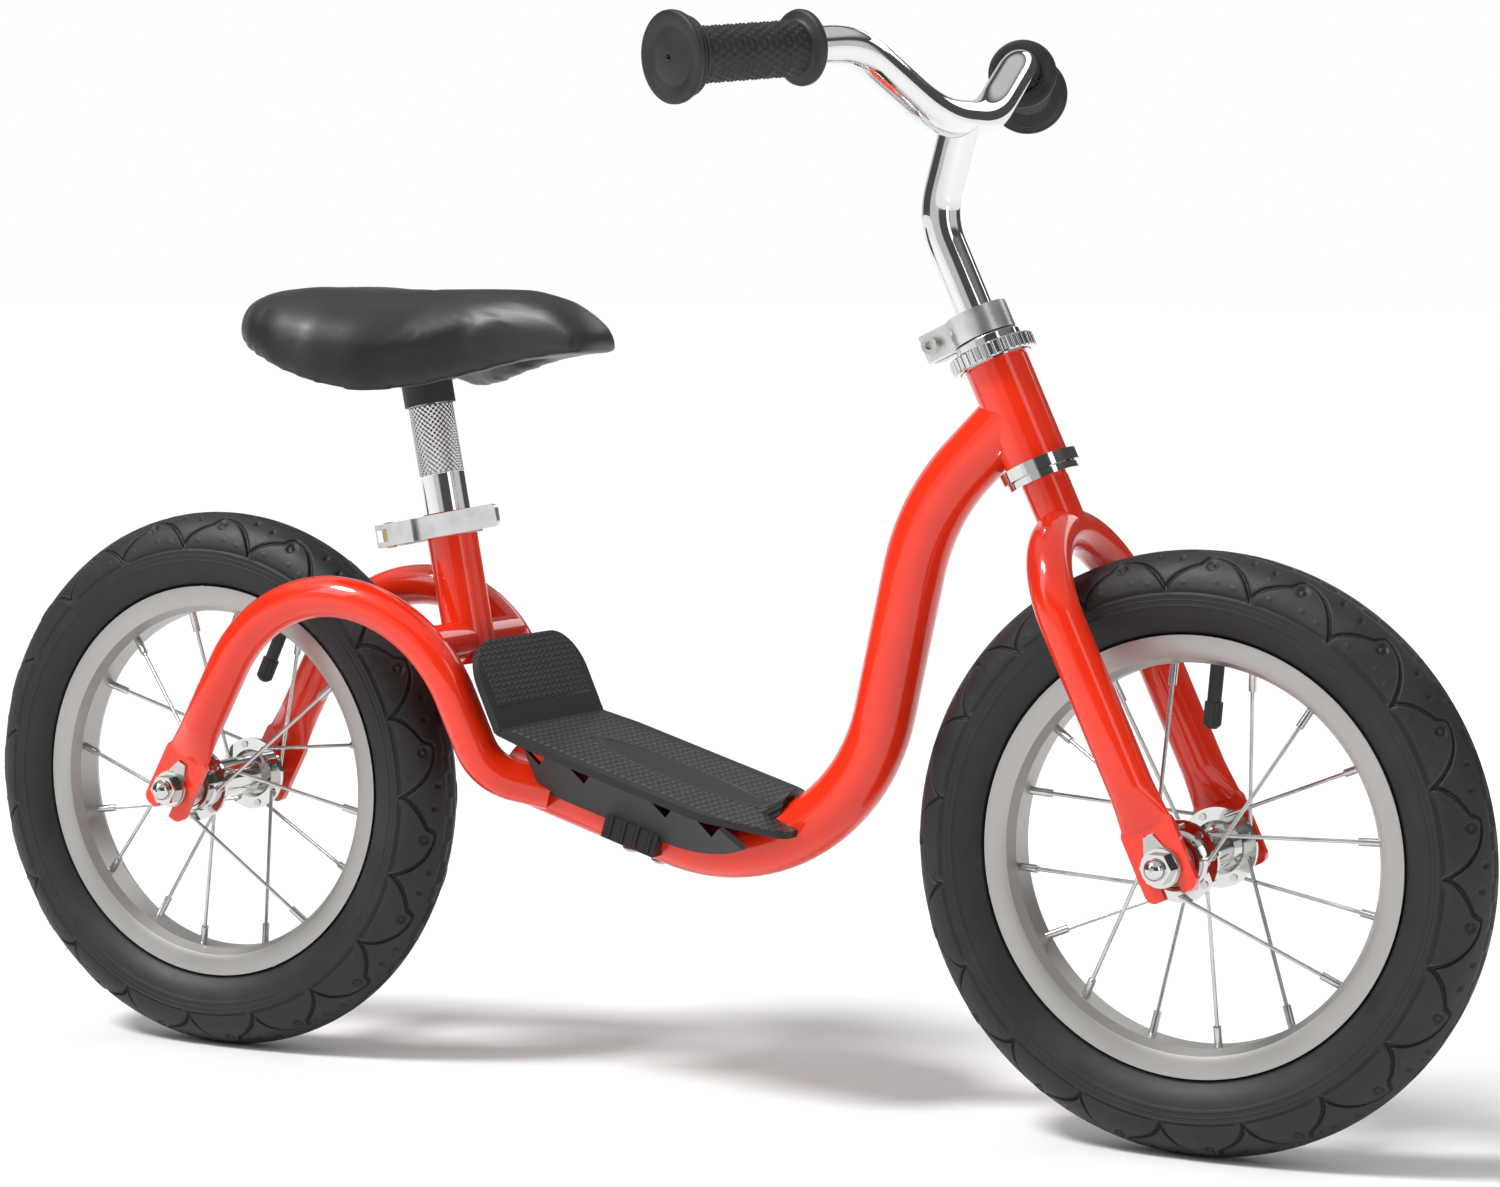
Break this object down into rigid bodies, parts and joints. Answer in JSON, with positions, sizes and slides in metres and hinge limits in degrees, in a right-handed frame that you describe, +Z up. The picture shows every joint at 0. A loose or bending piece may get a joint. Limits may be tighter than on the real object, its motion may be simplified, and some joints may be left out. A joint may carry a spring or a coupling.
{
  "type": "balance bike",
  "caption": "Child's balance bike with spoked wheels, step-through frame, footrest, padded saddle and swept handlebar; it steers, rolls, and its seat and bar adjust.",
  "frame": {"origin": "on the ground, on the centre plane, midway between the two axles", "axes": "+X forwards, +Y to the rider's left, +Z up"},
  "size_m": [0.8733, 0.4186, 0.5513],
  "materials": {
    "frame_paint": "glossy red-orange enamel",
    "bar_chrome": "mirror chrome",
    "seat_post_chrome": "mirror chrome, knurled near the top",
    "steerer_steel": "zinc-plated",
    "headset_steel": "bright plated",
    "bearing_steel": "polished",
    "clamp_aluminium": "satin",
    "bolt_steel": "zinc-plated",
    "barrel_brass": "satin",
    "grip_rubber": "matt, nubbed",
    "saddle_vinyl": "smooth black vinyl",
    "black_plastic": "satin black",
    "tyre_rubber": "charcoal, matt",
    "tube_rubber": "matt",
    "rim_steel": "satin silver",
    "spoke_steel": "bright",
    "hub_chrome": "bright plated",
    "axle_steel": "zinc-plated"
  },
  "bodies": {
    "frame": {"main_tube": "frame_paint", "head_tube": "frame_paint", "seat_tube": "frame_paint", "left_rear_stay": "frame_paint", "right_rear_stay": "frame_paint", "cross_bridge": "frame_paint", "upper_head_cup": "headset_steel", "lower_head_cup": "headset_steel", "headset_balls": "bearing_steel", "footrest": "black_plastic", "footrest_screws": "bolt_steel", "seat_clamp_band": "clamp_aluminium", "seat_clamp_skewer": "bolt_steel", "seat_clamp_nut": "bolt_steel", "seat_clamp_barrel": "barrel_brass", "rear_axle": "axle_steel", "rear_cones": "axle_steel", "rear_lock_nuts": "axle_steel", "rear_tab_washers": "axle_steel", "rear_axle_nuts": "axle_steel"},
    "fork": {"fork_steerer": "steerer_steel", "left_fork_blade": "frame_paint", "right_fork_blade": "frame_paint", "crown_race": "headset_steel", "headset_adjuster": "headset_steel", "headset_lock_ring": "headset_steel", "stem_clamp": "clamp_aluminium", "stem_clamp_bolt": "bolt_steel", "front_axle": "axle_steel", "front_cones": "axle_steel", "front_lock_nuts": "axle_steel", "front_tab_washers": "axle_steel", "front_axle_nuts": "axle_steel"},
    "bar": {"handlebar": "bar_chrome", "handlebar_post": "bar_chrome", "left_grip": "grip_rubber", "right_grip": "grip_rubber"},
    "seat": {"seat_post": "seat_post_chrome", "saddle_cover": "saddle_vinyl", "saddle_pan": "black_plastic", "saddle_bolt": "bolt_steel"},
    "lever": {"seat_clamp_lever": "clamp_aluminium"},
    "front_wheel": {"front_tyre": "tyre_rubber", "front_inner_tube": "tube_rubber", "front_valve_cap": "tube_rubber", "front_rim": "rim_steel", "front_spokes": "spoke_steel", "front_nipples": "spoke_steel", "front_hub_shell": "hub_chrome", "front_hub_balls": "bearing_steel"},
    "rear_wheel": {"rear_tyre": "tyre_rubber", "rear_inner_tube": "tube_rubber", "rear_valve_cap": "tube_rubber", "rear_rim": "rim_steel", "rear_spokes": "spoke_steel", "rear_nipples": "spoke_steel", "rear_hub_shell": "hub_chrome", "rear_hub_balls": "bearing_steel"}
  },
  "joints": [
    {"name": "steering", "type": "hinge", "parent": "frame", "child": "fork", "pos_m": [0.2885, 0, 0.1482], "axis": [-0.4226, 0, 0.9063], "range_deg": [-90, 90]},
    {"name": "handlebar_height", "type": "slide", "parent": "fork", "child": "bar", "axis": [-0.4226, 0, 0.9063], "range_m": [-0.028, 0.02]},
    {"name": "seat_height", "type": "slide", "parent": "frame", "child": "seat", "axis": [-0.1908, 0, 0.9816], "range_m": [-0.04, 0.025]},
    {"name": "seat_clamp_lever", "type": "hinge", "parent": "frame", "child": "lever", "pos_m": [-0.16991, -0.0131, 0.28835], "axis": [0.1908, 0, -0.9816], "range_deg": [0, 120]},
    {"name": "front_wheel_spin", "type": "hinge", "parent": "fork", "child": "front_wheel", "pos_m": [0.2885, 0, 0.1482], "axis": [0, 1, 0], "continuous": true},
    {"name": "rear_wheel_spin", "type": "hinge", "parent": "frame", "child": "rear_wheel", "pos_m": [-0.2885, 0, 0.1482], "axis": [0, 1, 0], "continuous": true}
  ]
}
